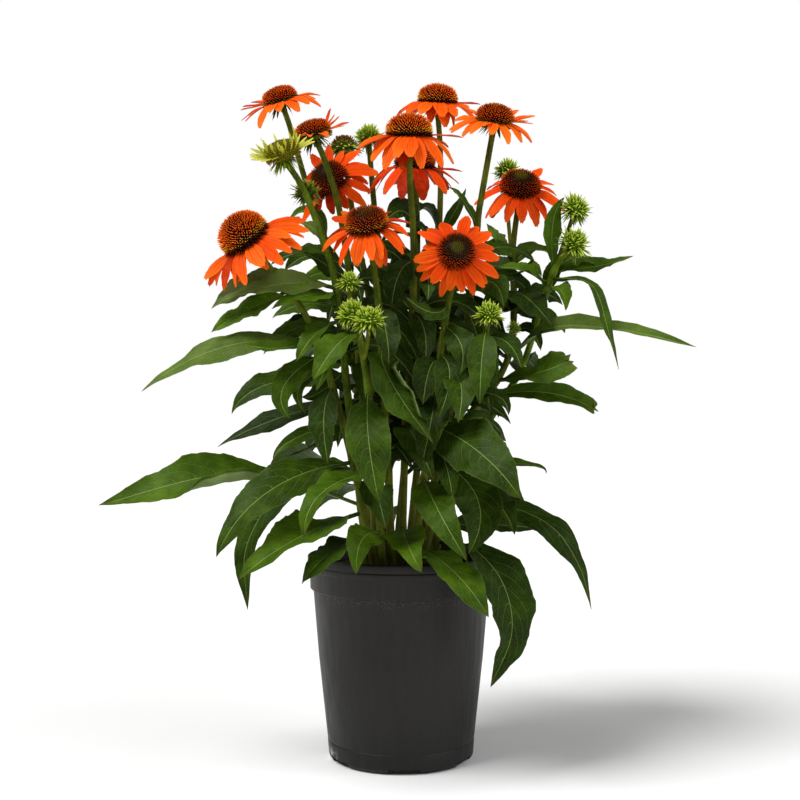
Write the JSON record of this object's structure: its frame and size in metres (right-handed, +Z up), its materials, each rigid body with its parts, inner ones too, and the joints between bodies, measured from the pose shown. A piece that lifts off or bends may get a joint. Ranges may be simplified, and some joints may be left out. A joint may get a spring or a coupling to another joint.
{
  "type": "potted orange coneflower plant",
  "caption": "Coneflower in bloom in a tapered round nursery pot: upright leafy stems, orange daisy-like blooms with spiny domed cones, and green buds. Stands on its flat base.",
  "frame": {"origin": "centre of the pot's flat base, on the surface it stands on", "axes": "+Z up along the pot's axis, -Y towards the front of the plant, +X to the right seen from the front"},
  "size_m": [0.513, 0.3613, 0.6259],
  "materials": {
    "pot": "satin black moulded plastic",
    "soil": "crumbly dark peat and bark",
    "foliage": "rough green leaf with paler veins",
    "rays": "velvety orange petal with fine lengthwise grooves",
    "young_rays": "soft yellow-green young petal",
    "cone": "stiff orange-tipped dark brown spines"
  },
  "bodies": {
    "root": {"pot": "pot", "soil": "soil", "stem_a": "foliage", "stem_b": "foliage", "stem_c": "foliage", "stem_e": "foliage", "stem_f": "foliage", "stem_g": "foliage", "stem_h": "foliage", "stem_i": "foliage", "stem_j": "foliage", "stem_k": "foliage", "stem_l": "foliage", "stem_m": "foliage", "stem_n": "foliage", "stem_p": "foliage", "stem_r": "foliage", "stem_t": "foliage", "stem_u": "foliage", "rays_a": "rays", "cone_a": "cone", "rays_b": "rays", "cone_b": "cone", "rays_c": "young_rays", "cone_c": "cone", "rays_f": "rays", "cone_f": "cone", "rays_g": "rays", "cone_g": "cone", "rays_h": "rays", "cone_h": "cone", "rays_i": "rays", "cone_i": "cone", "rays_j": "rays", "cone_j": "cone", "rays_k": "rays", "cone_k": "cone", "rays_l": "rays", "cone_l": "cone", "rays_m": "rays", "cone_m": "cone", "rays_n": "rays", "cone_n": "cone"}
  },
  "joints": []
}
